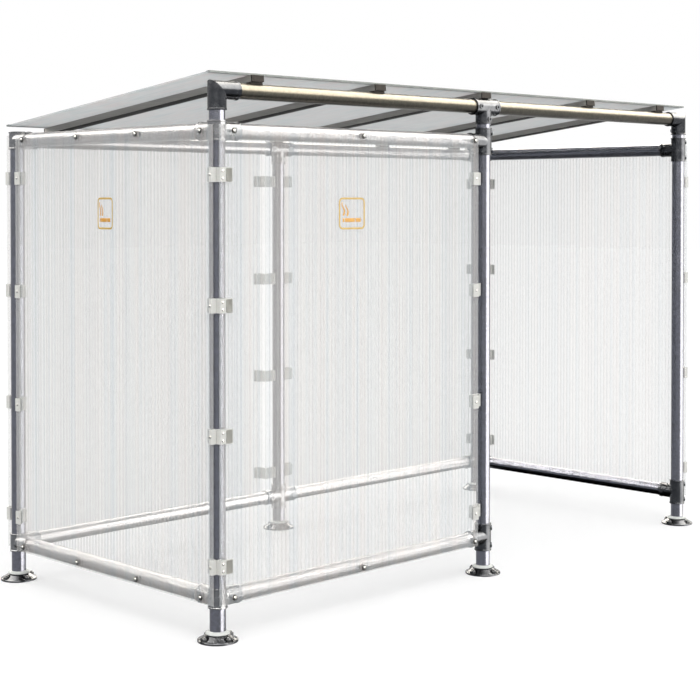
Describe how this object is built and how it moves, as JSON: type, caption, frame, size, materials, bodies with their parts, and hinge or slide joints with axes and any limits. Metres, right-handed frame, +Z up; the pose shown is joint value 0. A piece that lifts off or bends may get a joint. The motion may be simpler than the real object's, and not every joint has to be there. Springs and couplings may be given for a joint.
{
  "type": "smoking shelter",
  "caption": "Open-fronted smoking shelter: tube-and-clamp frame on bolted base flanges, twin-wall sheet walls with a doorway bay, sloping sheet roof on rafters.",
  "frame": {"origin": "centre of the six posts' plan, on the ground", "axes": "+X along the front from left to right, +Y from the open front to the back, +Z up"},
  "size_m": [3.152, 1.482, 2.098],
  "materials": {
    "galvanised_tube": "hot-dip galvanised, satin",
    "clamp_iron": "dark galvanised casting",
    "rafter_alloy": "mill finish, satin",
    "dark_plastic": "moulded, matt",
    "roof_sheet": "translucent twin-wall sheet",
    "wall_sheet": "translucent twin-wall sheet",
    "clip_metal": "satin"
  },
  "bodies": {
    "root": {"post_front_left": "galvanised_tube", "post_front_middle": "galvanised_tube", "post_front_right": "galvanised_tube", "post_back_left": "galvanised_tube", "post_back_middle": "galvanised_tube", "post_back_right": "galvanised_tube", "flange_front_left": "clamp_iron", "flange_front_middle": "clamp_iron", "flange_front_right": "clamp_iron", "flange_back_left": "clamp_iron", "flange_back_middle": "clamp_iron", "flange_back_right": "clamp_iron", "beam_left": "galvanised_tube", "beam_right": "galvanised_tube", "top_rail_left": "galvanised_tube", "top_rail_front": "galvanised_tube", "top_rails_back": "galvanised_tube", "top_rail_right": "galvanised_tube", "bottom_rail_left": "galvanised_tube", "bottom_rail_front": "galvanised_tube", "bottom_rails_back": "galvanised_tube", "bottom_rail_right": "galvanised_tube", "elbow_left": "clamp_iron", "elbow_right": "clamp_iron", "beam_tee": "clamp_iron", "corners_front_left": "clamp_iron", "corners_back_left": "clamp_iron", "corners_back_right": "clamp_iron", "tees_front_middle": "clamp_iron", "tees_front_right": "clamp_iron", "tees_back_middle": "clamp_iron", "rafters": "rafter_alloy", "rafter_caps": "dark_plastic", "rafter_saddles": "dark_plastic", "roof_sheet": "roof_sheet", "panel_left": "wall_sheet", "panel_front": "wall_sheet", "panel_back_left": "wall_sheet", "panel_back_right": "wall_sheet", "panel_right": "wall_sheet", "clips_front": "clip_metal", "clips_left": "clip_metal", "clips_back": "clip_metal", "clips_right": "clip_metal", "panel_spacers": "dark_plastic"}
  },
  "joints": []
}
